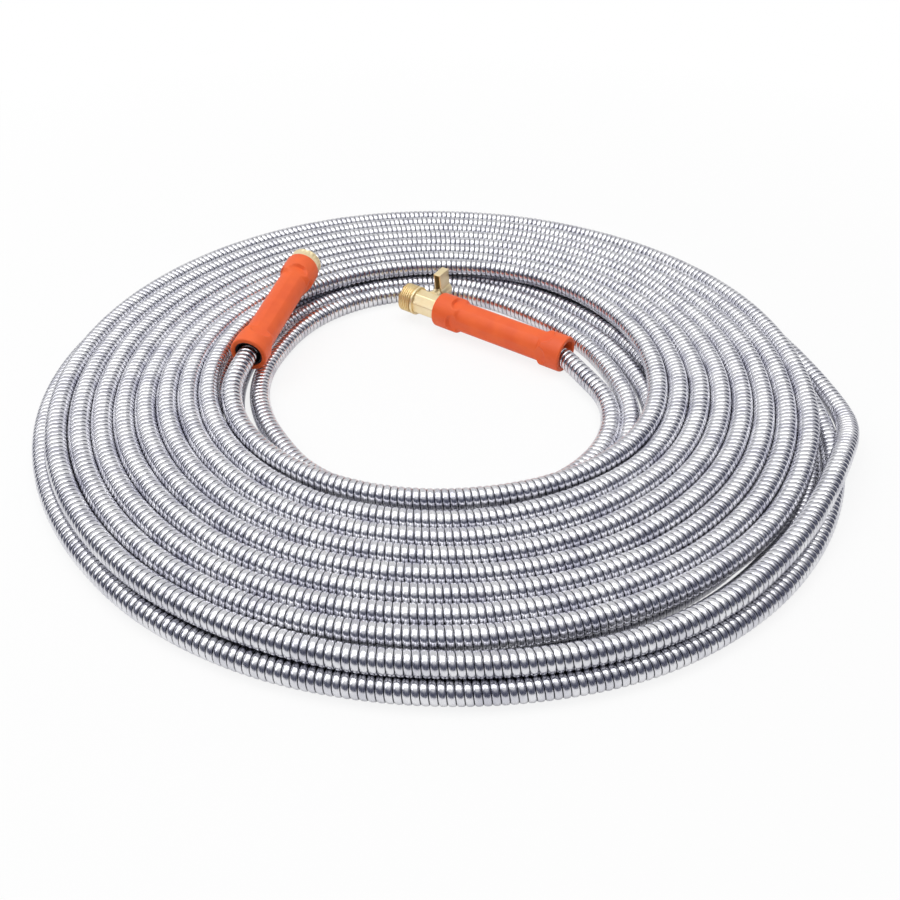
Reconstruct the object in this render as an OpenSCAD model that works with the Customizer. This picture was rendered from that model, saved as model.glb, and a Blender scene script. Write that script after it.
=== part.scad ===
// Coiled garden hose with an interlocked steel jacket: a ball valve with a male thread at the
// outlet end, a swivel nut with a female thread at the inlet end, and a rubber grip at each end.
// The origin is on the floor at the centre of the coil. +Z is up, and +Y points to the back.

/* [Hose] */
// Outside diameter of the jacket
hose_d = 17; // [14:0.5:20.5]
// Radial thickness of the steel jacket
jacket_wall = 1; // [0.8:0.1:1.3]
// Bore of the liner tube inside the jacket
liner_bore = 10.4; // [9:0.1:10.8]

/* [Coil] */
// Outside diameter of the coil, over the lower layer
coil_d = 663; // [560:1:800]
// Gap between neighbouring turns of a layer
turn_gap = 0.2; // [0.1:0.1:1]
// Clear diameter inside the closed turns of the lower layer
lower_inner_d = 353; // [340:1:370]
// Clear diameter inside the closed turns of the upper layer
upper_inner_d = 370; // [350:1:390]
// Height to which a layer's turns are joined, about their middle
web_h = 5; // [3:0.5:6]

/* [Grips] */
// Length of a grip
grip_len = 137; // [112:1:165]
// Gap between the hose and the open mouth
mouth_play = 3.7; // [3.2:0.1:5]
// Rubber round the open mouth
mouth_wall = 4; // [3:0.1:4.5]
// Gap between the hose and the middle of a grip
sleeve_play = 2.6; // [2.3:0.1:3.2]
// Rubber round the hose in the middle of a grip
sleeve_wall = 2.4; // [2:0.1:3.5]
// Rubber round the swivel nut
skirt_wall = 0.95; // [0.8:0.05:2]
// Length of the flare at the fitting
flare_len = 24; // [20:1:29]
// Length of the flare at the open mouth
rear_flare_len = 20.5; // [19:0.5:26]
// Length of the cone between a flare and the middle
cone_len = 4; // [3:0.5:9]
// Width of the four flats moulded along a grip
flat_w = 20; // [14:0.5:22]
// Depth of the flats below the middle of a grip
flat_depth = 0.6; // [0.3:0.1:0.9]
// How far the flats run up into each flare
flat_reach = 7; // [3:0.5:9]
// Radius on the outer rims of the flares
rim_r = 1.5; // [0.5:0.25:2.5]

/* [Hose ends] */
// Length of the crimped ferrule
ferrule_len = 36; // [30:1:43]
// Wall of the ferrule
ferrule_wall = 1.6; // [1.2:0.1:2]
// Length of the barbed stem inside the liner
barb_len = 34; // [28:1:40]
// Waterway through the barbed stem
stem_bore = 7.2; // [6:0.1:7.8]
// Thickness of the collar behind the ferrule
collar_t = 3; // [2:0.25:4]
// Wall of the black bush in the mouth of a grip
bush_wall = 1.5; // [1.2:0.1:1.7]
// Length of the black bush
bush_len = 10; // [8:0.5:12]

/* [Outlet valve] */
// Major diameter of the male thread
male_thread_d = 27; // [25:0.1:28]
// Length of the male thread
male_thread_len = 13; // [11:0.5:15]
// Collar between the thread and the octagon
thread_collar_t = 2.5; // [1.5:0.25:3.5]
// Wall of the octagonal body over the ball's cavity
octagon_wall = 1.95; // [1.8:0.05:3.5]
// Wall of the round body hidden in the grip
hidden_wall = 2.5; // [1.5:0.1:2.8]
// Distance from the end of the grip to the centre of the ball
ball_ahead = 16; // [15:0.25:19]
// Length of the valve body hidden in the grip
body_cover = 6; // [4:0.5:8]
// Diameter of the ball
ball_d = 17; // [14:0.1:20.5]
// Waterway through the ball and out of the thread
ball_bore = 9.4; // [8:0.1:10]
// Height of the stem boss above the ball's cavity
boss_rise = 7.9; // [7.4:0.1:10.5]
// Diameter of the stem boss
boss_d = 13; // [12:0.2:16]
// Diameter of the stem
stem_d = 7; // [6:0.1:7.6]
// Roll of the stem above the horizontal
stem_roll = 8; // [0:1:20]

/* [Lever] */
// Reach of the lever from the stem axis
lever_reach = 22; // [18:0.5:27]
// Width of the lever arm
lever_w = 7.6; // [6.4:0.2:9]
// Depth of the lever, along the stem
lever_h = 14.5; // [12:0.5:18]
// Outside diameter of the lever hub
hub_d = 13.4; // [13.2:0.2:18]
// Wall of the cast lever
lever_wall = 1.2; // [0.9:0.1:1.6]
// Gap between the boss and the lever
lever_gap = 1.1; // [0.6:0.1:2]

/* [Inlet nut] */
// Major diameter of the female thread
female_thread_d = 27.4; // [24:0.1:33]
// Wall of the nut round its thread
nut_skin = 1.2; // [1.1:0.1:2]
// Grip flutes cut round the nut
flutes = 24; // [12:1:36]
// Length of the nut that stands out of the grip
nut_out = 10.5; // [8:0.5:14]
// Length of the nut inside the skirt of the grip
nut_cover = 7; // [6.5:0.25:9]
// Length of the female thread
female_thread_len = 8.6; // [7:0.1:9]
// Thickness of the rubber washer
washer_t = 2.8; // [2:0.1:3.2]

/* [Hidden] */
$fn = 96;

// Clearances
run_fit = 0.06;     // radial, where a piece turns in another
slip_fit = 0.05;    // where pieces are pushed together
touch = 0.1;        // left between pieces that only lie against each other
skirt_fit = 0.25;   // radial, between the nut and the skirt of its grip
coil_clear = 2.5;   // between the coil and the end of the grip that lies over it

// Coil
hose_r = hose_d / 2;
turn_pitch = hose_d + turn_gap;
lower_r0 = coil_d / 2 - hose_r;
lower_z = hose_r;
upper_r0 = lower_r0 - turn_pitch / 2;
upper_z = lower_z + sqrt(pow(hose_d + touch, 2) - pow(turn_pitch / 2, 2));
lower_turns = turns_between(lower_r0, lower_inner_d);
upper_turns = turns_between(upper_r0, upper_inner_d);
tube_sides = 12;

function turns_between(r0, inner_d) = floor((r0 + hose_r - inner_d / 2 + turn_gap) / turn_pitch);

// Hose ends, measured along the axis from the mouth of the grip
collar_z = grip_len - body_cover;             // where the ferrule meets the tail's collar
ferrule_r = hose_r + slip_fit + ferrule_wall;
ferrule_lip = 1.4;
hose_end = collar_z - slip_fit - ferrule_lip - touch;
ferrule_z = collar_z - slip_fit - ferrule_len;
straight_from = 60;                           // the hose lies on the axis from here on
liner_r = hose_r - jacket_wall - slip_fit;
barb_r = liner_bore / 2 - slip_fit;
barb_root = barb_r - 0.45;
barb_foot = barb_root - 0.1;
barb_rings = 5;
barb_pitch = 5;
barb_slope = 3.5;                             // length of the tapered side of a barb
crimps = 4;
crimp_w = 3;
crimp_depth = 0.5;
mouth_r = hose_r + mouth_play;
rear_flare_r = mouth_r + mouth_wall;
sleeve_r = hose_r + sleeve_play;
grip_mid_r = sleeve_r + sleeve_wall;
bush_seat = 24;
outlet_bush_z = 10;
inlet_bush_z = 2;

// Valve, along the outlet axis
ball_r = ball_d / 2;
ball_z = grip_len + ball_ahead;
seat_w = 3.4;
seat_inner_r = ball_bore / 2 + 0.4;
seat_land = 1.29;                             // width of the ring where the ball meets a seat
seat_z = sqrt(pow(ball_r, 2) - pow(seat_inner_r + seat_land, 2));
cavity_r = ball_r + 0.8;
octagon_af = 2 * (cavity_r + octagon_wall);
collar_r = cavity_r + hidden_wall;
cavity_end = ball_z + seat_z + seat_w;
plug_end = ball_z - seat_z - seat_w;
neck_r = collar_r + 0.2;                      // round collar at the edge of the grip
neck_len = 2;
octagon_from = grip_len + 0.2;
octagon_end = cavity_end + 0.5;
thread_collar_r = male_thread_d / 2 + 0.2;
tip_z = octagon_end + thread_collar_t + male_thread_len;
seal_r = 0.7;
seal_groove = 1.4;
tail_seal_z = collar_z + collar_t + 4;

// Stem and lever, along the stem axis
boss_top = cavity_r + boss_rise;
tang_w = 4;
tang_root = ball_bore / 2 + 1.2;
shoulder_r = stem_d / 2 + 1;
shoulder_from = ball_r + 0.2;
shoulder_top = cavity_r + 1.2;
stem_r = stem_d / 2;
square_w = 5;
square_from = boss_top + 0.1;
lever_z0 = boss_top + lever_gap;
lever_z1 = lever_z0 + lever_h;
post_r = 4.6;
web_t = 1.6;
square_top = lever_z1 - web_t - 0.2;
screw_r = 1.5;
screw_head_r = 3.4;
screw_head_h = 1.9;
screw_depth = 7;
slot_len = 3.6;
slot_w = 0.9;
slot_depth = 1;
seal_rows = [boss_top - 5.4, boss_top - 2.6];
stem_groove = 1.2;
stem_ring_r = stem_r - 0.6;
stem_cord_r = 0.55;
arm_corner = 0.8;
post_from = lever_z0 + 1.5;

// Nut, along the inlet axis
nut_r = female_thread_d / 2 + nut_skin;
nut_back = grip_len - nut_cover;
nut_end = grip_len + nut_out;
nut_wall = 2.4;
flange_t = 1.9;
swivel_play = 0.15;
neck_in_nut = 7.5;
flange_z = nut_back + nut_wall + swivel_play;
washer_z = flange_z + flange_t + swivel_play;
thread_z = nut_end - female_thread_len;
recess_r = female_thread_d / 2 - 0.5;
flange_r = recess_r - 2;
flute_r = 0.7;
flute_depth = 0.4;
flute_margin = 2;                             // plain rim left at each end of the flutes
washer_bore_r = stem_bore / 2 + 1.5;
inlet_collar_z = nut_back - collar_t - 2;
inlet_shift = collar_z - inlet_collar_z;      // the inlet's ferrule sits this much further back
front_flare_r = nut_r + skirt_fit + skirt_wall;
skirt_from = nut_back - 0.5;

// Frames of the two hose ends: mouth of the grip, azimuth, elevation and roll of its axis.
// The outlet grip lies on the floor; the inlet grip rises over the upper layer of the coil.
inlet_rise = 6.3;
inlet_z = upper_z + hose_r + coil_clear + front_flare_r - nut_end * sin(inlet_rise);
outlet_frame = [[113.2, 37.4, rear_flare_r + touch], 144.8, 1, 180 - stem_roll];
inlet_frame = [[-162, 8.5, inlet_z], 76.7, inlet_rise, 0];
inlet_grip_roll = 25;                         // turns the flats of the inlet grip about its axis

// Routes, chosen by hand: angle about the coil's axis, radius and height of the hose's centre.
// The outlet run follows the floor, clockwise, from the outlet grip into the lower layer.
outlet_route = [
    [9, 122.5, 13.2], [2, 129.5, 11.2], [-5, 138.4, 9.6], [-13, 146.2, 8.7], [-22, 151.9, 8.5],
    [-34, 156.6, 8.5], [-48, 159.6, 8.5], [-62, 161.2, 8.5], [-76, 162.5, 8.5], [-90, 162.5, 8.5],
    [-104, 158.5, 8.5], [-118, 155.5, 8.5], [-132, 153, 8.5], [-146, 149.5, 8.5],
    [-160, 150, 8.5], [-174, 152, 8.5], [-188, 154, 8.5], [-202, 156, 8.5], [-216, 161.5, 8.5],
    [-229, 166.5, 8.5], [-243, 169.5, 8.5], [-257, 170, 8.5], [-268, 169, 8.5], [-278, 165, 8.5],
    [-287, 159.5, 8.5], [-296, 154, 8.5], [-306, 149.5, 8.5], [-317, 147.8, 8.5],
    [-328, 148.6, 8.5], [-339, 149.8, 8.5], [-349, 151.6, 8.5], [-358, 155.2, 8.5],
    [-367, 160, 8.5], [-377, 165.4, 8.5], [-391, 171.8, 8.5], [-406, 176.8, 8.5],
    [-421, 180.4, 8.5], [-436, 183, 8.5], [-451, 184.5, 8.5], [-464, 185.4, 8.5]];

// The inlet run leaves the upper layer at the back and climbs into the inlet grip.
inlet_route = [
    [88, 194, 23.7], [75, 193.5, 24.7], [62, 192.5, 25.5], [48, 190.5, 25.8], [34, 188, 25.8],
    [20, 186, 25.8], [6, 184.5, 25.8], [-8, 183.8, 25.8], [-22, 183.5, 25.8], [-36, 182, 25.8],
    [-50, 179, 25.8], [-64, 175.5, 25.8], [-78, 172.5, 25.8], [-92, 171.5, 25.8],
    [-106, 171.5, 25.8], [-120, 172, 25.8], [-134, 173, 25.8], [-146, 173.8, 25.9],
    [-155, 174, 26.4], [-163, 173.2, 27.6], [-169, 171.8, 28.9], [-175, 168.2, 30.6]];

// The crossover climbs from the lower layer to the upper one, round the right-hand side.
crossover_route = [
    [100, 323, 8.5], [88, 322.6, 8.5], [76, 321.8, 8.5], [64, 321, 8.5], [52, 320.3, 8.5],
    [40, 320, 8.5], [28, 320, 8.5], [18, 320.4, 8.5], [11, 321.8, 8.5], [5, 324.8, 8.5],
    [0, 328.6, 8.7], [-4, 331.8, 9.4], [-7, 333.8, 10.9], [-10, 334.6, 13.4],
    [-13, 333.6, 16.8], [-16, 331.4, 20.4], [-19, 328.6, 23.5], [-22, 326, 25.4],
    [-26, 323.6, 26], [-31, 321.8, 25.6], [-38, 321, 24.6], [-46, 321.6, 24],
    [-54, 323.2, 23.7], [-62, 323.6, 23.5], [-71, 321.6, 23.3], [-80, 318.4, 23.2],
    [-90, 315.3, 23.2], [-98, 314.4, 23.2]];

function polar(q) = [q[1] * cos(q[0]), q[1] * sin(q[0]), q[2]];
function unit(v) = v / norm(v);

// A point in an end's frame: s along the axis, side to the left of it and drop below it
function end_point(frame, s, side, drop) =
    let (axis = [cos(frame[2]) * cos(frame[1]), cos(frame[2]) * sin(frame[1]), sin(frame[2])],
         left = [-sin(frame[1]), cos(frame[1]), 0])
    frame[0] + s * axis + side * left - [0, 0, drop];

function tangent(path, i) = unit(path[min(i + 1, len(path) - 1)] - path[max(i - 1, 0)]);
function ring(centre, along, r) =
    let (side = unit(cross([0, 0, 1], along)), up = cross(along, side))
    [for (k = [0:tube_sides - 1])
        let (a = 360 * k / tube_sides) centre + r * (cos(a) * side + sin(a) * up)];

module tube(path, r) {
    last = len(path) - 1;
    rings = [for (i = [0:last]) each ring(path[i], tangent(path, i), r)];
    skin = [for (i = [0:last - 1]) for (k = [0:tube_sides - 1])
        let (a = i * tube_sides + k, b = i * tube_sides + (k + 1) % tube_sides)
        each [[a, a + tube_sides, b + tube_sides], [a, b + tube_sides, b]]];
    start = [for (k = [0:tube_sides - 1]) k];
    end = [for (k = [tube_sides - 1:-1:0]) last * tube_sides + k];
    polyhedron(rings, concat([start], skin, [end]));
}

// Stands the children on an end's axis: local Z runs from the mouth of the grip to the fitting
module on_end(frame) {
    translate(frame[0]) rotate([0, 0, frame[1]]) rotate([0, 90 - frame[2], 0])
        rotate([0, 0, frame[3]]) children();
}

// Points the children's Z along the stem axis, at the centre of the ball
module on_stem() {
    on_end(outlet_frame) translate([0, 0, ball_z]) rotate([-90, 0, 0]) children();
}

module pipe(r_out, r_in, z0, z1) {
    translate([0, 0, z0]) difference() {
        cylinder(r = r_out, h = z1 - z0);
        translate([0, 0, -1]) cylinder(r = r_in, h = z1 - z0 + 2);
    }
}

module bored(r, z0, z1) {
    difference() {
        children();
        translate([0, 0, z0]) cylinder(r = r, h = z1 - z0);
    }
}

module o_ring(ring_r, cord_r) {
    rotate_extrude() translate([ring_r, 0]) circle(r = cord_r, $fn = 32);
}

// The closed turns of one layer, joined between web_from and a little above their middle
module layer(r0, z, turns, web_from) {
    span = (turns - 1) * turn_pitch;
    rotate_extrude($fn = 180) {
        for (k = [0:turns - 1]) translate([r0 - k * turn_pitch, z]) circle(r = hose_r, $fn = 48);
        translate([r0 - span, web_from]) square([span, z + web_h / 2 - web_from]);
    }
}

module coil_lower() {
    color("silver") layer(lower_r0, lower_z, lower_turns, 0);
}

module coil_upper() {
    color("silver") layer(upper_r0, upper_z, upper_turns, upper_z - web_h / 2);
}

module crossover_run() {
    color("gainsboro") tube([for (q = crossover_route) polar(q)], hose_r);
}

module outlet_run() {
    inside = [end_point(outlet_frame, straight_from, 0, 0), end_point(outlet_frame, 40, 0, 0),
              end_point(outlet_frame, 20, 0.6, 0.4), end_point(outlet_frame, 0, 2.6, 1.9)];
    color("gainsboro") tube(concat(inside, [for (q = outlet_route) polar(q)]), hose_r);
}

module inlet_run() {
    inside = [end_point(inlet_frame, 0, 0.9, 0.9), end_point(inlet_frame, 20, 0.4, 0.4),
              end_point(inlet_frame, 40, 0, 0), end_point(inlet_frame, straight_from, 0, 0)];
    color("gainsboro") tube(concat([for (q = inlet_route) polar(q)], inside), hose_r);
}

// Outline of a grip's outer skin, as a half section
module grip_outline() {
    front_z = grip_len - flare_len;
    difference() {
        polygon([[0, 0], [rear_flare_r, 0], [rear_flare_r, rear_flare_len],
                 [grip_mid_r, rear_flare_len + cone_len], [grip_mid_r, front_z - cone_len],
                 [front_flare_r, front_z], [front_flare_r, grip_len], [0, grip_len]]);
        translate([rear_flare_r - rim_r, -1]) rim_cutter(1);
        translate([front_flare_r - rim_r, grip_len + 1]) mirror([0, 1]) rim_cutter(1);
    }
}

// Cuts a round corner at the outer end of a half section
module rim_cutter(below) {
    difference() {
        square([rim_r + 1, rim_r + below]);
        translate([0, rim_r + below]) circle(r = rim_r);
    }
}

// Cuts the four flats, whose round ends leave arched thumb rests in the flares
module flat_cutters() {
    from = rear_flare_len - flat_reach + flat_w / 2;
    to = grip_len - flare_len + flat_reach - flat_w / 2;
    for (turn = [0:90:270]) rotate([0, 0, turn]) translate([grip_mid_r - flat_depth, 0, 0])
        rotate([0, 90, 0]) linear_extrude(rear_flare_r) {
            translate([-to, -flat_w / 2]) square([to - from, flat_w]);
            for (z = [from, to]) translate([-z, 0]) circle(d = flat_w);
        }
}

// A grip with its open mouth, the bush seat and a tight bore over the ferrule
module grip(tight_from, tight_to, roll) {
    difference() {
        rotate_extrude() grip_outline();
        rotate([0, 0, roll]) flat_cutters();
        translate([0, 0, -1]) cylinder(r = mouth_r, h = bush_seat + 1);
        translate([0, 0, bush_seat - 1]) cylinder(r = sleeve_r, h = tight_from - bush_seat + 1);
        translate([0, 0, tight_from - 1])
            cylinder(r = ferrule_r + slip_fit, h = tight_to - tight_from + 2);
        children();
    }
}

module outlet_grip() {
    color("orangered") on_end(outlet_frame) grip(ferrule_z, collar_z, 0)
        translate([0, 0, collar_z]) cylinder(r = collar_r + slip_fit, h = body_cover + 1);
}

module inlet_grip() {
    color("orangered") on_end(inlet_frame)
        grip(ferrule_z - inlet_shift, inlet_collar_z, inlet_grip_roll) {
            translate([0, 0, inlet_collar_z]) cylinder(r = collar_r + slip_fit, h = grip_len);
            translate([0, 0, skirt_from]) cylinder(r = nut_r + skirt_fit, h = grip_len);
        }
}

module bush(z) {
    color("black") pipe(mouth_r - touch, mouth_r - touch - bush_wall, z, z + bush_len);
}

module outlet_bush() {
    on_end(outlet_frame) bush(outlet_bush_z);
}

module inlet_bush() {
    on_end(inlet_frame) bush(inlet_bush_z);
}

module jacket_end(shift) {
    color("silver") pipe(hose_r, hose_r - jacket_wall, straight_from + slip_fit, hose_end - shift);
}

module liner_end(shift) {
    color("khaki") pipe(liner_r, liner_bore / 2, straight_from + slip_fit, hose_end - shift);
}

module outlet_jacket_end() {
    on_end(outlet_frame) jacket_end(0);
}

module outlet_liner_end() {
    on_end(outlet_frame) liner_end(0);
}

module inlet_jacket_end() {
    on_end(inlet_frame) jacket_end(inlet_shift);
}

module inlet_liner_end() {
    on_end(inlet_frame) liner_end(inlet_shift);
}

// Drawn cup that is crimped over the end of the hose, with its crimp grooves
module ferrule() {
    color("lightgray") difference() {
        translate([0, 0, ferrule_z]) cylinder(r = ferrule_r, h = ferrule_len);
        translate([0, 0, ferrule_z - 1])
            cylinder(r = hose_r + slip_fit, h = ferrule_len - ferrule_lip + 1);
        cylinder(r = barb_root + slip_fit, h = grip_len);
        for (k = [1:crimps])
            translate([0, 0, ferrule_z + k * ferrule_len / (crimps + 1) - crimp_w / 2])
                pipe(ferrule_r + 1, ferrule_r - crimp_depth, 0, crimp_w);
    }
}

module outlet_ferrule() {
    on_end(outlet_frame) ferrule();
}

module inlet_ferrule() {
    on_end(inlet_frame) translate([0, 0, -inlet_shift]) ferrule();
}

// Barbed stem with its collar, up to the collar's front face
module barbed_stem() {
    translate([0, 0, collar_z]) cylinder(r = collar_r, h = collar_t);
    translate([0, 0, collar_z - barb_len]) cylinder(r = barb_root, h = barb_len);
    for (k = [0:barb_rings - 1]) translate([0, 0, collar_z - barb_len + k * barb_pitch])
        cylinder(r1 = barb_foot, r2 = barb_r, h = barb_slope);
}

// Outlet tail: the plug behind the ball carries the rear seat and a seal
module outlet_tail() {
    plug_r = cavity_r - slip_fit;
    color("goldenrod") on_end(outlet_frame)
        bored(stem_bore / 2, 0, tip_z) difference() {
            union() {
                barbed_stem();
                translate([0, 0, collar_z]) cylinder(r = plug_r, h = plug_end - collar_z);
            }
            translate([0, 0, tail_seal_z])
                pipe(plug_r + 1, plug_r - seal_groove, -seal_groove / 2, seal_groove / 2);
        }
}

module tail_seal() {
    color("black") on_end(outlet_frame) translate([0, 0, tail_seal_z])
        o_ring(cavity_r - slip_fit - seal_r, seal_r - slip_fit);
}

module valve_body() {
    body_z = collar_z + collar_t + slip_fit;
    color("goldenrod") on_end(outlet_frame) difference() {
        union() {
            translate([0, 0, body_z]) cylinder(r = collar_r, h = grip_len - body_z + 1);
            translate([0, 0, grip_len]) cylinder(r = neck_r, h = neck_len);
            translate([0, 0, octagon_from]) rotate([0, 0, 22.5])
                cylinder(d = octagon_af / cos(22.5), h = octagon_end - octagon_from, $fn = 8);
            translate([0, 0, octagon_end]) cylinder(r = thread_collar_r, h = thread_collar_t);
            translate([0, 0, octagon_end]) cylinder(d = male_thread_d, h = tip_z - octagon_end);
            translate([0, 0, ball_z]) rotate([-90, 0, 0]) cylinder(d = boss_d, h = boss_top);
        }
        translate([0, 0, body_z - 1]) cylinder(r = cavity_r, h = cavity_end - body_z + 1);
        cylinder(d = ball_bore, h = tip_z + 1);
        translate([0, 0, ball_z]) rotate([-90, 0, 0]) {
            cylinder(r = stem_r + run_fit, h = boss_top + 1);
            cylinder(r = shoulder_r + run_fit, h = shoulder_top + run_fit);
        }
    }
}

module seat() {
    color("ivory") difference() {
        pipe(cavity_r - slip_fit, seat_inner_r, seat_z, seat_z + seat_w - slip_fit);
        sphere(r = ball_r + run_fit);
    }
}

module rear_seat() {
    on_end(outlet_frame) translate([0, 0, ball_z]) mirror([0, 0, 1]) seat();
}

module front_seat() {
    on_end(outlet_frame) translate([0, 0, ball_z]) seat();
}

// Ball, shut: its bore lies across the hose, in line with the lever
module ball() {
    color("lightgray") on_stem() difference() {
        sphere(r = ball_r);
        rotate([0, 90, 0]) cylinder(d = ball_bore, h = ball_d + 2, center = true);
        translate([-ball_d, -tang_w / 2 - slip_fit, tang_root - slip_fit])
            cube([2 * ball_d, tang_w + 2 * slip_fit, ball_r]);
    }
}

module stem() {
    color("goldenrod") on_stem() difference() {
        union() {
            intersection() {
                translate([-shoulder_r, -tang_w / 2, tang_root])
                    cube([2 * shoulder_r, tang_w, shoulder_top - tang_root]);
                cylinder(r = shoulder_r, h = boss_top);
            }
            cylinder_from(shoulder_r, shoulder_from, shoulder_top);
            cylinder_from(stem_r, shoulder_top - 0.5, square_from);
            translate([-square_w / 2, -square_w / 2, square_from - 1])
                cube([square_w, square_w, square_top - square_from + 1]);
        }
        for (z = seal_rows) translate([0, 0, z])
            pipe(stem_r + 1, stem_r - stem_groove, -stem_groove / 2, stem_groove / 2);
        translate([0, 0, square_top - screw_depth]) cylinder(r = screw_r + slip_fit, h = screw_depth + 1);
    }
}

module cylinder_from(r, z0, z1) {
    translate([0, 0, z0]) cylinder(r = r, h = z1 - z0);
}

module stem_seals() {
    color("black") on_stem() for (z = seal_rows) translate([0, 0, z])
        o_ring(stem_ring_r, stem_cord_r);
}

// Plan of the lever seen along the stem, grown inwards by a wall
module lever_plan(inset) {
    half = lever_w / 2 - inset;
    tip = lever_reach - inset;
    circle(d = hub_d - 2 * inset);
    translate([0, -half]) square([tip - arm_corner, 2 * half]);
    translate([0, -half + arm_corner]) square([tip, 2 * (half - arm_corner)]);
    for (side = [-1, 1]) translate([tip - arm_corner, side * (half - arm_corner)])
        circle(r = arm_corner, $fn = 32);
}

// Cast lever, hollow on the side that faces the valve, with a square hole in its post
module lever() {
    color("goldenrod") on_stem() difference() {
        union() {
            translate([0, 0, lever_z0]) difference() {
                linear_extrude(lever_h) lever_plan(0);
                translate([0, 0, -1]) linear_extrude(lever_h - web_t + 1) lever_plan(lever_wall);
            }
            cylinder_from(post_r, post_from, lever_z1 - web_t / 2);
        }
        translate([-square_w / 2 - slip_fit, -square_w / 2 - slip_fit, 0])
            cube([square_w + 2 * slip_fit, square_w + 2 * slip_fit, lever_z1 - web_t]);
        cylinder(r = screw_r + slip_fit, h = lever_z1 + 1);
    }
}

// Pan-head screw that holds the lever on the stem
module lever_screw() {
    head_z = lever_z1 + slip_fit;
    color("silver") on_stem() difference() {
        union() {
            cylinder_from(screw_r, square_top - screw_depth + 1, head_z + 0.5);
            cylinder_from(screw_head_r, head_z, head_z + screw_head_h);
        }
        for (turn = [0, 90]) translate([0, 0, head_z + screw_head_h]) rotate([0, 0, turn])
            cube([slot_len, slot_w, 2 * slot_depth], center = true);
    }
}

// Inlet tail: neck for the nut to turn on, and the flange that keeps it
module inlet_tail() {
    neck_z = inlet_collar_z + collar_t - 0.5;
    color("goldenrod") on_end(inlet_frame) bored(stem_bore / 2, 0, grip_len + nut_out)
        union() {
            translate([0, 0, -inlet_shift]) barbed_stem();
            cylinder_from(neck_in_nut, neck_z, flange_z + flange_t);
            cylinder_from(flange_r, flange_z, flange_z + flange_t);
        }
}

module inlet_nut() {
    color("goldenrod") on_end(inlet_frame) difference() {
        cylinder_from(nut_r, nut_back, nut_end);
        cylinder_from(neck_in_nut + run_fit, nut_back - 1, nut_end);
        cylinder_from(recess_r, nut_back + nut_wall, nut_end);
        cylinder_from(female_thread_d / 2, thread_z, nut_end + 1);
        for (k = [0:flutes - 1]) rotate([0, 0, 360 * k / flutes])
            translate([nut_r + flute_r - flute_depth, 0, grip_len + flute_margin])
                cylinder(r = flute_r, h = nut_out - 2 * flute_margin, $fn = 24);
    }
}

module hose_washer() {
    color("black") on_end(inlet_frame)
        pipe(recess_r - slip_fit, washer_bore_r, washer_z, washer_z + washer_t);
}

coil_lower();
coil_upper();
crossover_run();
outlet_run();
inlet_run();
outlet_grip();
outlet_bush();
outlet_jacket_end();
outlet_liner_end();
outlet_ferrule();
outlet_tail();
valve_body();
tail_seal();
rear_seat();
front_seat();
ball();
stem();
stem_seals();
lever();
lever_screw();
inlet_grip();
inlet_bush();
inlet_jacket_end();
inlet_liner_end();
inlet_ferrule();
inlet_tail();
inlet_nut();
hose_washer();
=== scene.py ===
import math
import bmesh
import bpy
import numpy
from mathutils import Matrix, Vector


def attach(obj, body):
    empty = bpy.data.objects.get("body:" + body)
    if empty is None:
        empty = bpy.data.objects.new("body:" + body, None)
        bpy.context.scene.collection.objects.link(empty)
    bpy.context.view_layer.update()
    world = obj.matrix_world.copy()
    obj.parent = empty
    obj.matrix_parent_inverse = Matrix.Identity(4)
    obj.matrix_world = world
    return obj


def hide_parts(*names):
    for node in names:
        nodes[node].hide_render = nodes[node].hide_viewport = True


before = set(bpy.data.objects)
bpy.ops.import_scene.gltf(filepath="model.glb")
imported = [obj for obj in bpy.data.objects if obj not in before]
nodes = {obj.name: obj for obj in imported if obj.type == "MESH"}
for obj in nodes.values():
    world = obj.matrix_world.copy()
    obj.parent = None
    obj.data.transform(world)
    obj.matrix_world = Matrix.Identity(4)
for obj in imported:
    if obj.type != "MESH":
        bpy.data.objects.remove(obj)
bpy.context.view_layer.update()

scene = bpy.context.scene
for starter in ("Cube", "Light", "Camera"):
    if starter in bpy.data.objects:
        bpy.data.objects.remove(bpy.data.objects[starter])


def newObject(name, data):
    holder = bpy.data.objects.new(name, data)
    scene.collection.objects.link(holder)
    return holder


def meshFrom(name, bm, material):
    mesh = bpy.data.meshes.new(name)
    bm.to_mesh(mesh)
    bm.free()
    mesh.materials.append(material)
    return mesh


camera = {"place": (0.0101, -0.6698, 0.4538), "tiltDown": 37.58, "lens": 37.25, "sensor": 36,
          "clipFrom": 0.01}


def makeCamera():
    lens = bpy.data.cameras.new("camera")
    lens.lens = camera["lens"]
    lens.sensor_width = camera["sensor"]
    lens.clip_start = camera["clipFrom"]
    holder = newObject("camera", lens)
    holder.location = camera["place"]
    holder.rotation_euler = (math.radians(90 - camera["tiltDown"]), 0, 0)
    scene.camera = holder


makeCamera()

hose = {
    "diameter": 0.017,
    "rib": 0.00513,         # lead of the wound strip
    "groove": 0.0011,       # depth of the groove between two ribs
    "edge": 0.0005,         # how far a rib's edge lies under its crest
    "edgeShare": 0.092,     # where the edge lies, as a share of the lead
    "shoulder": 0.00013,    # how far its rounded shoulder lies under its crest
    "shoulderShare": 0.25,
    "crisp": 60,            # edges sharper than this many degrees are shaded as sharp
    "sides": 20,
    "pieces": 8,
    "linerGap": 0.00005,
    "linerSides": 10,
    "linerStep": 0.012,
    "step": 0.004,          # spacing of the points on the finished line
}

# The two ends: mouth of the grip, then bearing, rise and roll of its axis in degrees
outletEnd = {"mouth": (0.1132, 0.0374, 0.0163), "bearing": 144.8, "rise": 1, "roll": 172}
inletEnd = {"mouth": (-0.162, 0.0085, 0.0342), "bearing": 76.7, "rise": 6.3, "roll": 0}

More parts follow.
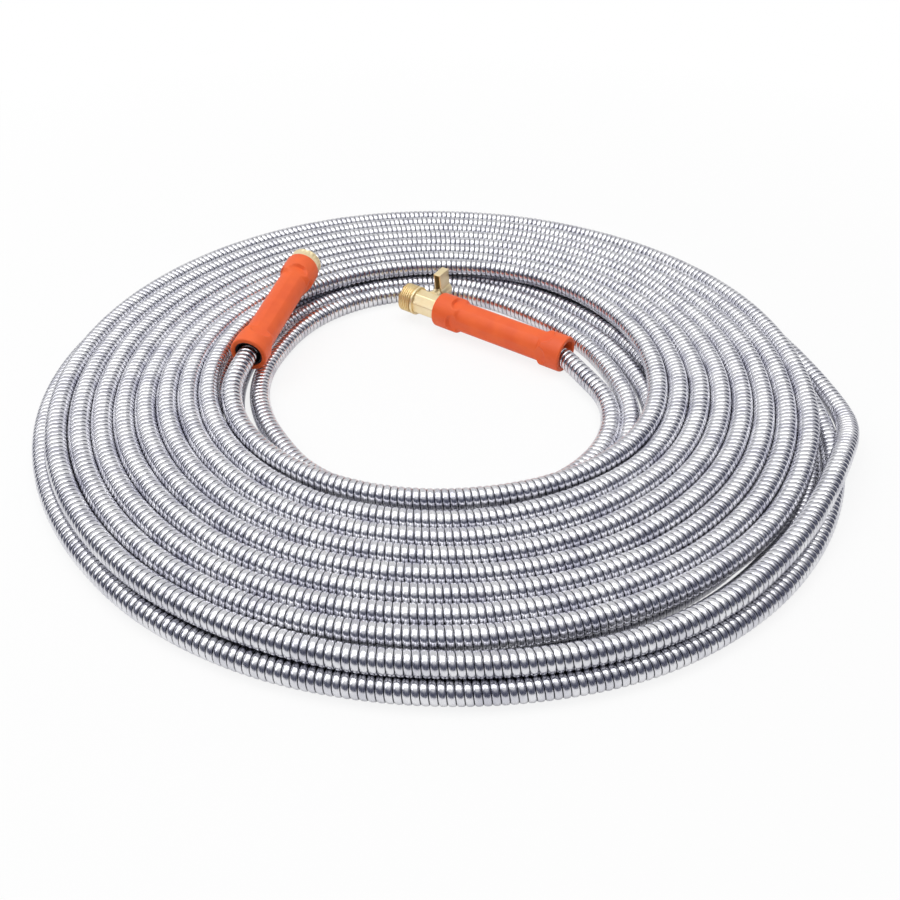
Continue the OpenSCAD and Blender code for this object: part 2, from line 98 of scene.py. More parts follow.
# Inside a grip: distance along the axis, then how far the hose lies to the left and below it
outletInside = [(0.06, 0, 0), (0.04, 0, 0), (0.02, 0.0006, 0.0004), (0, 0.0026, 0.0019)]
inletInside = [(0, 0.0009, 0.0009), (0.02, 0.0004, 0.0004), (0.04, 0, 0), (0.06, 0, 0)]

# Listed: angle about the coil's axis, radius and height of the hose's centre
outletRoute = [
    (9, 0.1225, 0.0132), (2, 0.1295, 0.0112), (-5, 0.1384, 0.0096), (-13, 0.1462, 0.0087),
    (-22, 0.1519, 0.0085), (-34, 0.1566, 0.0085), (-48, 0.1596, 0.0085), (-62, 0.1612, 0.0085),
    (-76, 0.1625, 0.0085), (-90, 0.1625, 0.0085), (-104, 0.1585, 0.0085), (-118, 0.1555, 0.0085),
    (-132, 0.153, 0.0085), (-146, 0.1495, 0.0085), (-160, 0.15, 0.0085), (-174, 0.152, 0.0085),
    (-188, 0.154, 0.0085), (-202, 0.156, 0.0085), (-216, 0.1615, 0.0085), (-229, 0.1665, 0.0085),
    (-243, 0.1695, 0.0085), (-257, 0.17, 0.0085), (-268, 0.169, 0.0085), (-278, 0.165, 0.0085),
    (-287, 0.1595, 0.0085), (-296, 0.154, 0.0085), (-306, 0.1495, 0.0085), (-317, 0.1478, 0.0085),
    (-328, 0.1486, 0.0085), (-339, 0.1498, 0.0085), (-349, 0.1516, 0.0085), (-358, 0.1552, 0.0085),
    (-367, 0.16, 0.0085), (-377, 0.1654, 0.0085), (-391, 0.1718, 0.0085), (-406, 0.1768, 0.0085),
    (-421, 0.1804, 0.0085), (-436, 0.183, 0.0085), (-451, 0.1845, 0.0085), (-464, 0.1854, 0.0085),
]
crossoverRoute = [
    (100, 0.323, 0.0085), (88, 0.3226, 0.0085), (76, 0.3218, 0.0085), (64, 0.321, 0.0085),
    (52, 0.3203, 0.0085), (40, 0.32, 0.0085), (28, 0.32, 0.0085), (18, 0.3204, 0.0085),
    (11, 0.3218, 0.0085), (5, 0.3248, 0.0085), (0, 0.3286, 0.0087), (-4, 0.3318, 0.0094),
    (-7, 0.3338, 0.0109), (-10, 0.3346, 0.0134), (-13, 0.3336, 0.0168), (-16, 0.3314, 0.0204),
    (-19, 0.3286, 0.0235), (-22, 0.326, 0.0254), (-26, 0.3236, 0.026), (-31, 0.3218, 0.0256),
    (-38, 0.321, 0.0246), (-46, 0.3216, 0.024), (-54, 0.3232, 0.0237), (-62, 0.3236, 0.0235),
    (-71, 0.3216, 0.0233), (-80, 0.3184, 0.0232), (-90, 0.3153, 0.0232), (-98, 0.3144, 0.0232),
]
inletRoute = [
    (88, 0.194, 0.0237), (75, 0.1935, 0.0247), (62, 0.1925, 0.0255), (48, 0.1905, 0.0258),
    (34, 0.188, 0.0258), (20, 0.186, 0.0258), (6, 0.1845, 0.0258), (-8, 0.1838, 0.0258),
    (-22, 0.1835, 0.0258), (-36, 0.182, 0.0258), (-50, 0.179, 0.0258), (-64, 0.1755, 0.0258),
    (-78, 0.1725, 0.0258), (-92, 0.1715, 0.0258), (-106, 0.1715, 0.0258), (-120, 0.172, 0.0258),
    (-134, 0.173, 0.0258), (-146, 0.1738, 0.0259), (-155, 0.174, 0.0264), (-163, 0.1732, 0.0276),
    (-169, 0.1718, 0.0289), (-175, 0.1682, 0.0306),
]

# The wound turns of both layers
coils = {
    # Bearing, then the radius of the first, second and last turn of the layer there
    "lower": ((-12, 0.1635, 0.184, 0.3187), (-25, 0.1693, 0.187, 0.3265), (-60, 0.1804, 0.198, 0.3328),
              (-90, 0.1842, 0.2016, 0.3228), (-107, 0.1854, 0.2028, 0.3215), (-145, 0.1725, 0.1898, 0.317),
              (-180, 0.1725, 0.1905, 0.3262), (-216, 0.179, 0.1965, 0.3275), (-243, 0.1874, 0.2048, 0.3255),
              (-270, 0.187, 0.2044, 0.3225), (-290, 0.1755, 0.193, 0.321), (-315, 0.1657, 0.183, 0.3205),
              (-340, 0.1672, 0.1846, 0.3215), (-360, 0.1736, 0.1912, 0.3295)),
    "upper": ((-25, 0.3216, 0.3008, 0.1832), (-45, 0.3216, 0.3016, 0.1815), (-90, 0.3137, 0.2963, 0.1745),
              (-145, 0.3085, 0.2914, 0.1745), (-180, 0.3085, 0.2914, 0.1745), (-270, 0.3137, 0.2967, 0.1777),
              (-360, 0.3033, 0.2863, 0.1672)),
    "lowerStart": -360,     # angle of the hose where a layer's table starts
    "upperStart": -3600,
    "lastTurn": 8,          # the turn that the last radius of a row stands for
    "layerTurns": 10,       # turns that a layer's table is read for
    "crossoverTurns": 10,   # whole turns wound before each route
    "inletTurns": 18,
    "outerGap": 0.0173,     # between the last two turns of the lower layer,
    "packedTo": -250,       # down to this bearing
    "step": 15,             # degrees between two points of a wound turn
    "firstStep": 1.4,       # steps left free after the outlet's own points
    "blur": 8,              # degrees over which the radius and the height are eased
    "blurPoints": 5,
    "air": 0.0001,          # left free between the layers
    "laps": (-2, 20),       # laps searched for turns of the lower layer
}


def endFrame(end):
    turn = Matrix.Rotation(math.radians(end["bearing"]), 4, "Z")
    tip = Matrix.Rotation(math.radians(90 - end["rise"]), 4, "Y")
    roll = Matrix.Rotation(math.radians(end["roll"]), 4, "Z")
    return Matrix.Translation(end["mouth"]) @ turn @ tip @ roll


def insideGrip(end, rows):
    bearing, rise = math.radians(end["bearing"]), math.radians(end["rise"])
    level = math.cos(rise)
    axis = Vector((level * math.cos(bearing), level * math.sin(bearing), math.sin(rise)))
    left = Vector((-math.sin(bearing), math.cos(bearing), 0))
    mouth = Vector(end["mouth"])
    return [mouth + axis * s + left * side - Vector((0, 0, drop)) for s, side, drop in rows]


def coilKnots(layer, start, turns):
    knots = []
    edge = coils["lastTurn"]
    for turn in range(turns):
        for bearing, first, second, last in layer:
            packed = layer is coils["lower"] and bearing > coils["packedTo"]
            gap = coils["outerGap"] if packed else (last - second) / (edge - 1)
            radius = numpy.interp(turn, (0, 1, edge - 1, edge), (first, second, last - gap, last))
            knots.append((start + bearing - 360 * turn, radius))
    return knots


def blurred():
    return numpy.linspace(-coils["blur"], coils["blur"], coils["blurPoints"])


def eased(knots, angle):
    at = [-a for a, r in knots]
    radii = [r for a, r in knots]
    return float(numpy.mean(numpy.interp(blurred() - angle, at, radii)))


# How high the hose lies where it rests on the lower layer's turns
def nestedHeight(angle, radius, lowerLine):
    d = hose["diameter"]
    highest = 0
    at = [-row[0] for row in lowerLine]
    radii = [row[1] for row in lowerLine]
    for turn in range(*coils["laps"]):
        below = angle % 360 - 360 * turn
        if lowerLine[-1][0] <= below <= lowerLine[0][0]:
            gap = abs(numpy.interp(-below, at, radii) - radius)
            highest = max(highest, math.sqrt(max(0, d * d - gap * gap)))
    return d / 2 + highest + coils["air"]


def hoseRoute():
    step = coils["step"]
    line = list(outletRoute)
    knots = coilKnots(coils["lower"], coils["lowerStart"], coils["layerTurns"])
    climb = [(a - 360 * coils["crossoverTurns"], r, z) for a, r, z in crossoverRoute]
    angle = line[-1][0] - coils["firstStep"] * step
    while angle > climb[0][0] + step / 2:
        line.append((angle, eased(knots, angle), hose["diameter"] / 2))
        angle -= step
    line += climb
    lowerLine = [row for row in line if row[0] >= climb[0][0]]
    knots = coilKnots(coils["upper"], coils["upperStart"], coils["layerTurns"])
    last = [(a - 360 * coils["inletTurns"], r, z) for a, r, z in inletRoute]
    angle = line[-1][0] - step
    while angle > last[0][0] + step / 2:
        radius = eased(knots, angle)
        height = numpy.mean([nestedHeight(angle + t, radius, lowerLine) for t in blurred()])
        line.append((angle, radius, float(height)))
        angle -= step
    line += last
    ring = [Vector((r * math.cos(math.radians(a)), r * math.sin(math.radians(a)), z))
            for a, r, z in line]
    return insideGrip(outletEnd, outletInside) + ring + insideGrip(inletEnd, inletInside)


# A smooth curve through all points, at about even spacing
def smoothLine(points, spacing):
    p = numpy.array([tuple(q) for q in points])
    h = numpy.linalg.norm(numpy.diff(p, axis=0), axis=1)
    slope = numpy.diff(p, axis=0) / h[:, None]
    inner = (slope[1:] * h[:-1, None] + slope[:-1] * h[1:, None]) / (h[:-1] + h[1:])[:, None]
    tangent = numpy.vstack([slope[:1], inner, slope[-1:]])
    fine = []
    for i, length in enumerate(h):
        for t in numpy.linspace(0, 1, max(2, int(length / spacing) + 1), endpoint=False):
            a, b = 2 * t ** 3 - 3 * t ** 2 + 1, t ** 3 - 2 * t ** 2 + t
            c, d = -2 * t ** 3 + 3 * t ** 2, t ** 3 - t ** 2
            fine.append(a * p[i] + b * length * tangent[i] + c * p[i + 1] + d * length * tangent[i + 1])
    fine.append(p[-1])
    return numpy.array(fine)


def lineObject(name, points):
    curve = bpy.data.curves.new(name, "CURVE")
    curve.dimensions = "3D"
    spline = curve.splines.new("POLY")
    spline.points.add(len(points) - 1)
    flat = numpy.ones((len(points), 4))
    flat[:, :3] = points
    spline.points.foreach_set("co", flat.ravel())
    return newObject(name, curve)


hosePoints = smoothLine(hoseRoute(), hose["step"])
hoseLength = float(numpy.linalg.norm(numpy.diff(hosePoints, axis=0), axis=1).sum())
hoseLine = lineObject("hoseLine", hosePoints)
print(f"hose line: {len(hosePoints)} points, {hoseLength:.3f} m")


def feed(tree, socket, value):
    if isinstance(value, bpy.types.NodeSocket):
        tree.links.new(value, socket)
    else:
        socket.default_value = value


def addNode(tree, kind, values=None, **settings):
    node = tree.nodes.new(kind)
    for key, value in settings.items():
        setattr(node, key, value)
    for key, value in (values or {}).items():
        feed(tree, node.inputs[key], value)
    return node


# The first output of a new node
def outNode(tree, kind, values=None, **settings):
    return addNode(tree, kind, values, **settings).outputs[0]


def maths(tree, operation, a, b=0.0, c=0.0):
    return outNode(tree, "ShaderNodeMath", {0: a, 1: b, 2: c}, operation=operation)


def vectors(tree, operation, a, b=(0, 0, 0), scale=1.0):
    node = addNode(tree, "ShaderNodeVectorMath", {0: a, 1: b}, operation=operation)
    if operation == "SCALE":
        feed(tree, node.inputs["Scale"], scale)
    return node.outputs[0]


def newSockets(tree, direction, sockets):
    for name, kind in sockets.items():
        tree.interface.new_socket(name, in_out=direction, socket_type="NodeSocket" + kind)


# Runs a node tree with its inputs set, and keeps the result as a plain mesh
def bakeNodes(name, tree, values):
    piece = newObject(name, bpy.data.meshes.new(name))
    modifier = piece.modifiers.new("nodes", "NODES")
    modifier.node_group = tree
    for item in tree.interface.items_tree:
        if item.item_type == "SOCKET" and item.in_out == "INPUT" and item.name in values:
            modifier[item.identifier] = values[item.name]
    bpy.context.view_layer.update()
    graph = bpy.context.evaluated_depsgraph_get()
    mesh = bpy.data.meshes.new_from_object(piece.evaluated_get(graph))
    piece.modifiers.clear()
    piece.data = mesh
    mesh.name = name
    return piece


# The last nodes of every tree
def finishTree(tree, geometry, material):
    real = outNode(tree, "GeometryNodeRealizeInstances", {"Geometry": geometry})
    painted = outNode(tree, "GeometryNodeSetMaterial", {"Geometry": real, "Material": material})
    addNode(tree, "NodeGroupOutput", {"Geometry": painted})


# Points across one turn, how near points join, how near a row's number has to be
strip = {"rows": 6, "merge": 2e-6, "near": 0.1}


# A strip wound round a line: the ribs of the hose and the threads of its ends
def windingTree():
    tree = bpy.data.node_groups.new("winding", "GeometryNodeTree")
    newSockets(tree, "INPUT", {
        "Line": "Object", "First Turn": "Float", "Turns": "Int", "Lead": "Float",
        "Root Radius": "Float", "Edge Radius": "Float", "Shoulder Radius": "Float",
        "Crest Radius": "Float", "Edge Share": "Float", "Shoulder Share": "Float",
        "Sides": "Int", "Start": "Float", "End": "Float", "Crisp Angle": "Float",
        "Turn Inside Out": "Bool", "Material": "Material"})
    newSockets(tree, "OUTPUT", {"Geometry": "Geometry"})
    given = addNode(tree, "NodeGroupInput").outputs
    info = addNode(tree, "GeometryNodeObjectInfo", {"Object": given["Line"]})
    rows = maths(tree, "MULTIPLY", given["Turns"], strip["rows"])
    grid = addNode(tree, "GeometryNodeMeshGrid", {
        "Size X": rows, "Size Y": 1.0,
        "Vertices X": maths(tree, "ADD", rows, 1),
        "Vertices Y": maths(tree, "ADD", given["Sides"], 1)})
    place = outNode(tree, "GeometryNodeInputPosition")
    flat = addNode(tree, "ShaderNodeSeparateXYZ", {0: place}).outputs
    row = maths(tree, "ROUND", maths(tree, "ADD", flat["X"], maths(tree, "DIVIDE", rows, 2)))
    lap = maths(tree, "ADD", flat["Y"], 0.5)
    step = maths(tree, "FLOORED_MODULO", row, strip["rows"])
    turn = maths(tree, "FLOOR", maths(tree, "DIVIDE", row, strip["rows"]))
    farEdge = maths(tree, "SUBTRACT", 1, given["Edge Share"])
    farShoulder = maths(tree, "SUBTRACT", 1, given["Shoulder Share"])

    def chosen(values):
        node = tree.nodes.new("GeometryNodeIndexSwitch")
        node.data_type = "FLOAT"
        while len(node.index_switch_items) < len(values):
            node.index_switch_items.new()
        tree.links.new(step, node.inputs["Index"])
        for index, value in enumerate(values):
            feed(tree, node.inputs[index + 1], value)
        return node.outputs[0]

    radius = chosen([given["Root Radius"], given["Edge Radius"], given["Shoulder Radius"],
                     given["Crest Radius"], given["Shoulder Radius"], given["Edge Radius"]])
    share = chosen([0.0, given["Edge Share"], given["Shoulder Share"], 0.5, farShoulder, farEdge])
    wound = maths(tree, "ADD", lap, given["First Turn"])
    along = maths(tree, "ADD", maths(tree, "ADD", turn, share), wound)
    along = maths(tree, "MULTIPLY", along, given["Lead"])
    along = maths(tree, "MINIMUM", maths(tree, "MAXIMUM", along, given["Start"]), given["End"])
    sample = addNode(tree, "GeometryNodeSampleCurve",
                     {"Curves": info.outputs["Geometry"], "Length": along}, mode="LENGTH")
    tangent = sample.outputs["Tangent"]
    side = vectors(tree, "NORMALIZE", vectors(tree, "CROSS_PRODUCT", tangent, (0, 0, 1)))
    up = vectors(tree, "CROSS_PRODUCT", side, tangent)
    angle = maths(tree, "MULTIPLY", lap, 2 * math.pi)
    across = vectors(tree, "SCALE", side, scale=maths(tree, "MULTIPLY", maths(tree, "SINE", angle), -1))
    below = vectors(tree, "SCALE", up, scale=maths(tree, "MULTIPLY", maths(tree, "COSINE", angle), -1))
    spoke = vectors(tree, "SCALE", vectors(tree, "ADD", across, below), scale=radius)
    position = vectors(tree, "ADD", sample.outputs["Position"], spoke)

    # Marks the root rows; the jacket reads this mask to paint shade into its grooves
    groove = maths(tree, "COMPARE", step, 0, strip["near"])
    stored = outNode(tree, "GeometryNodeStoreNamedAttribute",
                     {"Geometry": grid.outputs["Mesh"], "Name": "groove", "Value": groove},
                     data_type="FLOAT", domain="POINT")
    turnsAcross = outNode(tree, "ShaderNodeCombineXYZ", {"X": given["Turns"], "Y": 1.0, "Z": 1.0})
    wrap = vectors(tree, "MULTIPLY", grid.outputs["UV Map"], turnsAcross)
    stored = outNode(tree, "GeometryNodeStoreNamedAttribute",
                     {"Geometry": stored, "Name": "wrap", "Value": wrap},
                     data_type="FLOAT2", domain="CORNER")
    placed = outNode(tree, "GeometryNodeSetPosition", {"Geometry": stored, "Position": position})
    joined = outNode(tree, "GeometryNodeMergeByDistance", {"Geometry": placed, "Distance": strip["merge"]})
    flipped = outNode(tree, "GeometryNodeFlipFaces", {"Mesh": joined, "Selection": given["Turn Inside Out"]})
    smooth = outNode(tree, "GeometryNodeSetShadeSmooth", {"Geometry": flipped, "Shade Smooth": True},
                     domain="FACE")
    fold = addNode(tree, "GeometryNodeInputMeshEdgeAngle").outputs["Unsigned Angle"]
    sharp = maths(tree, "GREATER_THAN", fold, given["Crisp Angle"])
    crisp = outNode(tree, "GeometryNodeSetShadeSmooth",
                    {"Geometry": smooth, "Selection": sharp, "Shade Smooth": False}, domain="EDGE")
    finishTree(tree, crisp, given["Material"])
    return tree


# A plain round tube along a line
def tubeTree():
    tree = bpy.data.node_groups.new("tube", "GeometryNodeTree")
    newSockets(tree, "INPUT", {"Line": "Object", "Radius": "Float", "Sides": "Int", "Spacing": "Float",
                               "Material": "Material"})
    newSockets(tree, "OUTPUT", {"Geometry": "Geometry"})
    given = addNode(tree, "NodeGroupInput").outputs
    info = addNode(tree, "GeometryNodeObjectInfo", {"Object": given["Line"]})
    even = outNode(tree, "GeometryNodeResampleCurve",
                   {"Curve": info.outputs["Geometry"], "Length": given["Spacing"]}, mode="LENGTH")
    level = outNode(tree, "GeometryNodeSetCurveNormal", {"Curve": even}, mode="Z_UP")
    circle = outNode(tree, "GeometryNodeCurvePrimitiveCircle",
                     {"Resolution": given["Sides"], "Radius": given["Radius"]})
    tube = outNode(tree, "GeometryNodeCurveToMesh",
                   {"Curve": level, "Profile Curve": circle, "Fill Caps": True})
    finishTree(tree, tube, given["Material"])
    return tree


def shaderGroup(name, inputs, outputs):
    tree = bpy.data.node_groups.new(name, "ShaderNodeTree")
    newSockets(tree, "INPUT", inputs)
    newSockets(tree, "OUTPUT", outputs)
    return tree, addNode(tree, "NodeGroupInput").outputs


# Two scales of noise: a fine height for bump and a slow patch for colour
def grainGroup():
    tree, given = shaderGroup("grain", {"Vector": "Vector", "Fine Scale": "Float", "Patch Scale": "Float"},
                              {"Height": "Float", "Patch": "Float"})
    fine = outNode(tree, "ShaderNodeTexNoise", {"Vector": given["Vector"], "Scale": given["Fine Scale"],
                                                "Detail": 4.0, "Roughness": 0.6})
    patch = outNode(tree, "ShaderNodeTexNoise", {"Vector": given["Vector"], "Scale": given["Patch Scale"],
                                                 "Detail": 2.0})
    addNode(tree, "NodeGroupOutput", {"Height": fine, "Patch": patch})
    return tree


# Fine lines left by turning or rolling: the vector's X runs across the lines
def linesGroup():
    tree, given = shaderGroup("lines", {"Vector": "Vector", "Density": "Float", "Run": "Float"},
                              {"Height": "Float"})
    stretch = outNode(tree, "ShaderNodeCombineXYZ",
                      {"X": given["Density"], "Y": given["Run"], "Z": given["Run"]})
    vector = vectors(tree, "MULTIPLY", given["Vector"], stretch)
    noise = outNode(tree, "ShaderNodeTexNoise", {"Vector": vector, "Scale": 1.0, "Detail": 3.0,
                                                 "Roughness": 0.65})
    addNode(tree, "NodeGroupOutput", {"Height": noise})
    return tree


# A colour between two tones by a mask
def toneGroup():
    tree, given = shaderGroup("tone", {"Mask": "Float", "Low": "Color", "High": "Color", "From": "Float",
                                       "To": "Float"}, {"Color": "Color"})
    spread = outNode(tree, "ShaderNodeMapRange", {"Value": given["Mask"], "From Min": given["From"],
                                                  "From Max": given["To"]})
    mix = addNode(tree, "ShaderNodeMix", data_type="RGBA")
    for key, value in (("Factor", spread), ("A", given["Low"]), ("B", given["High"])):
        feed(tree, mix.inputs[key], value)
    addNode(tree, "NodeGroupOutput", {"Color": mix.outputs["Result"]})
    return tree


grain, lines, tone = grainGroup(), linesGroup(), toneGroup()


def useGroup(tree, group, values):
    node = tree.nodes.new("ShaderNodeGroup")
    node.node_tree = group
    for key, value in values.items():
        feed(tree, node.inputs[key], value)
    return node.outputs


def newMaterial(name, roughness, metallic=0.0, **sockets):
    material = bpy.data.materials.new(name)
    material.use_nodes = True
    tree = material.node_tree
    shader = next(n for n in tree.nodes if n.type == "BSDF_PRINCIPLED")
    shader.inputs["Roughness"].default_value = roughness
    shader.inputs["Metallic"].default_value = metallic
    for key, value in sockets.items():
        shader.inputs[key.replace("_", " ")].default_value = value
    return material, tree, shader


def objectVector(tree):
    return addNode(tree, "ShaderNodeTexCoord").outputs["Object"]


def roughen(tree, shader, height, distance, strength=1.0):
    bump = outNode(tree, "ShaderNodeBump", {"Height": height, "Distance": distance, "Strength": strength})
    tree.links.new(bump, shader.inputs["Normal"])


noiseReach = (0.3, 0.7)     # most of a noise's values lie between these


def roughnessRange(tree, shader, mask, low, high):
    spread = outNode(tree, "ShaderNodeMapRange", {
        "Value": mask, "From Min": noiseReach[0], "From Max": noiseReach[1], "To Min": low, "To Max": high})
    tree.links.new(spread, shader.inputs["Roughness"])


# A slow noise as patches between a piece's two tones
def patches(tree, skin, look):
    return useGroup(tree, tone, {"Mask": skin["Patch"], "Low": look["low"], "High": look["high"],
                                 "From": look["from"], "To": look["to"]})["Color"]


def skinOf(tree, look):
    return useGroup(tree, grain, {"Vector": objectVector(tree), "Fine Scale": look["fine"],
                                  "Patch Scale": look["patch"]})


jacket = {
    "low": (0.60, 0.60, 0.66, 1), "high": (0.82, 0.82, 0.85, 1), "from": 0.3, "to": 0.6,
    # The groove colour is painted shade: near-black at the root of each rib, where the groove lies in shade
    "groove": (0.04, 0.04, 0.05, 1), "grooveShadeFrom": 0.08, "grooveShadeTo": 0.6,
    "fine": 900.0, "patch": 60.0,
    "lines": 14.0, "run": 3.0,              # rolled lines: across the strip and along it
    "roughness": 0.25, "smoothest": 0.16, "roughest": 0.34, "relief": 0.00004,
}


def jacketSteel():
    material, tree, shader = newMaterial("jacketSteel", jacket["roughness"], 1.0)
    wrap = addNode(tree, "ShaderNodeAttribute", attribute_name="wrap").outputs["Vector"]
    groove = addNode(tree, "ShaderNodeAttribute", attribute_name="groove").outputs["Fac"]
    streaks = useGroup(tree, lines, {"Vector": wrap, "Density": jacket["lines"],
                                     "Run": jacket["run"]})["Height"]
    body = patches(tree, skinOf(tree, jacket), jacket)
    # Painted shade: the colour darkens to near-black towards the root of each groove
    colour = useGroup(tree, tone, {"Mask": groove, "Low": body, "High": jacket["groove"],
                                   "From": jacket["grooveShadeFrom"], "To": jacket["grooveShadeTo"]})["Color"]
    tree.links.new(colour, shader.inputs["Base Color"])
    roughnessRange(tree, shader, streaks, jacket["smoothest"], jacket["roughest"])
    roughen(tree, shader, streaks, jacket["relief"])
    return material


rubber = {
    "low": (0.84, 0.105, 0.014, 1), "high": (0.92, 0.135, 0.02, 1), "from": 0.35, "to": 0.65,
    "fine": 1600.0, "patch": 45.0,
    "roughness": 0.5, "smoothest": 0.44, "roughest": 0.58, "relief": 0.00012, "strength": 0.6,
    "sheen": 0.04, "sheenRoughness": 0.5,
}


def gripRubber():
    material, tree, shader = newMaterial("gripRubber", rubber["roughness"], Sheen_Weight=rubber["sheen"],
                                         Sheen_Roughness=rubber["sheenRoughness"])
    skin = skinOf(tree, rubber)
    tree.links.new(patches(tree, skin, rubber), shader.inputs["Base Color"])
    roughnessRange(tree, shader, skin["Patch"], rubber["smoothest"], rubber["roughest"])
    roughen(tree, shader, skin["Height"], rubber["relief"], rubber["strength"])
    return material


# What all metals but the jacket share, and what all plastics and seals share
metals = {"from": 0.35, "to": 0.65, "fine": 500.0, "patch": 80.0, "relief": 0.00003, "strength": 0.5,
          "smoothest": 0.8, "roughest": 1.25}       # shares of the metal's own roughness
plastics = {"from": 0.35, "to": 0.65, "fine": 700.0, "patch": 60.0, "relief": 0.00005, "strength": 0.5}


def plain(name, shared, low, high, roughness, metallic=0.0):
    material, tree, shader = newMaterial(name, roughness, metallic)
    skin = skinOf(tree, shared)
    colour = patches(tree, skin, {**shared, "low": low, "high": high})
    tree.links.new(colour, shader.inputs["Base Color"])
    if shared is metals:
        roughnessRange(tree, shader, skin["Height"], roughness * metals["smoothest"],
                       roughness * metals["roughest"])
    roughen(tree, shader, skin["Height"], shared["relief"], shared["strength"])
    return material


# One material for each slot: two tones, then roughness and how metallic it is
materials = {
    "steel_jacket": jacketSteel(),
    "grip_rubber": gripRubber(),
    "brass": plain("castBrass", metals, (0.92, 0.75, 0.44, 1), (0.97, 0.84, 0.56, 1), 0.36, 0.8),
    "seal_rubber": plain("sealRubber", plastics, (0.010, 0.010, 0.012, 1), (0.022, 0.022, 0.025, 1), 0.45),
    "seat_plastic": plain("seatPlastic", plastics, (0.78, 0.76, 0.70, 1), (0.86, 0.84, 0.79, 1), 0.35),
    "liner_plastic": plain("linerPlastic", plastics, (0.50, 0.42, 0.24, 1), (0.58, 0.50, 0.30, 1), 0.4),
    "ferrule_steel": plain("ferruleSteel", metals, (0.50, 0.50, 0.52, 1), (0.62, 0.62, 0.64, 1), 0.3, 1.0),
    "chrome": plain("chrome", metals, (0.62, 0.62, 0.64, 1), (0.70, 0.70, 0.72, 1), 0.12, 1.0),
    "screw_steel": plain("screwSteel", metals, (0.46, 0.46, 0.47, 1), (0.58, 0.58, 0.58, 1), 0.35, 1.0),
}
print("materials made")

winding, tube = windingTree(), tubeTree()


def makeHose():
    outer = hose["diameter"] / 2
    liner = bakeNodes("hoseLiner", tube, {
        "Line": hoseLine, "Radius": outer - hose["groove"] - hose["linerGap"],
        "Sides": hose["linerSides"], "Spacing": hose["linerStep"], "Material": materials["liner_plastic"]})
    turns = int(hoseLength / hose["rib"]) - 1
    each = math.ceil(turns / hose["pieces"])
    ribs = []
    for index in range(hose["pieces"]):
        first = index * each
        ribs.append(bakeNodes(f"hoseJacket{index + 1}", winding, {
            "Line": hoseLine, "First Turn": float(first - 1), "Turns": min(each, turns - first + 2),
            "Lead": hose["rib"], "Root Radius": outer - hose["groove"],
            "Edge Radius": outer - hose["edge"], "Shoulder Radius": outer - hose["shoulder"],
            "Crest Radius": outer, "Edge Share": hose["edgeShare"],
            "Shoulder Share": hose["shoulderShare"], "Sides": hose["sides"], "Start": 0.0,
            "End": hoseLength, "Crisp Angle": math.radians(hose["crisp"]),
            "Material": materials["steel_jacket"]}))
    for piece in ribs:
        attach(piece, "hose_and_ends")
    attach(liner, "hose_and_ends")
    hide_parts("outlet_run", "coil_lower")
    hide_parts("inlet_run", "coil_upper", "crossover_run")


makeHose()
bpy.data.objects.remove(hoseLine)
print("hose wound")


def smoothShare(value, low, high):
    share = min(1, max(0, (value - low) / (high - low)))
    return share * share * (3 - 2 * share)


# A closed half section of (radius, height) swept round the axis, its radius changed by shape
def turned(bm, section, bearings, shape=None, place=None):
    rings = []
    for radius, height in section:
        reach = [shape(radius, height, a) if shape else radius for a in bearings]
        points = [Vector((r * math.cos(a), r * math.sin(a), height)) for r, a in zip(reach, bearings)]
        rings.append([bm.verts.new(place @ point if place else point) for point in points])
    for low, high in zip(rings, rings[1:] + rings[:1]):
        for i in range(len(low)):
            j = (i + 1) % len(low)
            bm.faces.new((low[i], low[j], high[j], high[i]))


roundedShare = 0.3      # how far the middle of a rounded corner lies inside it, for its size


def evenBearings(count):
    return [2 * math.pi * i / count for i in range(count)]


weldGap = 1e-7


def finishPiece(name, bm, place, crisp, slot, body, *replaced):
    bmesh.ops.remove_doubles(bm, verts=bm.verts, dist=weldGap)
    bmesh.ops.transform(bm, matrix=place, verts=bm.verts)
    for face in bm.faces:
        face.smooth = True
    for edge in bm.edges:
        edge.smooth = edge.calc_face_angle(0) < math.radians(crisp)
    piece = newObject(name, meshFrom(name, bm, materials[slot]))
    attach(piece, body)
    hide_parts(*replaced)


# Rubber grips, moulded with arched thumb rests where the panels run into the flares
grip = {
    "length": 0.137, "middle": 0.0135, "cone": 0.004, "rim": 0.0015,
    "rear": 0.0162, "rearLength": 0.0205, "front": 0.0161, "frontLength": 0.024,
    "mouth": 0.0122, "mouthEdge": 0.0006, "bushSeat": 0.024, "sleeve": 0.0111, "tight": 0.0102,
    "bushBore": 0.01185, "cornerAngles": (0, 22, 45, 68, 90),
    "panelWidth": 0.02, "panelDepth": 0.0006, "panelReach": 0.007, "soft": 0.0008,
    "seam": 0.00012, "seamHalf": 0.03,
    "sides": 144, "crisp": 38, "rimPast": 1.01,         # the skin starts just past the rim
    "fineStep": 0.0008, "coarseStep": 0.005, "fineTo": 0.029, "fineFrom": 0.102,
}
outletGrip = {"roll": 0, "tightFrom": 0.095, "tightTo": 0.131, "bore": 0.01185, "boreFrom": 0.131}
inletGrip = {"roll": 25, "tightFrom": 0.089, "tightTo": 0.125, "bore": 0.01515, "boreFrom": 0.1295}


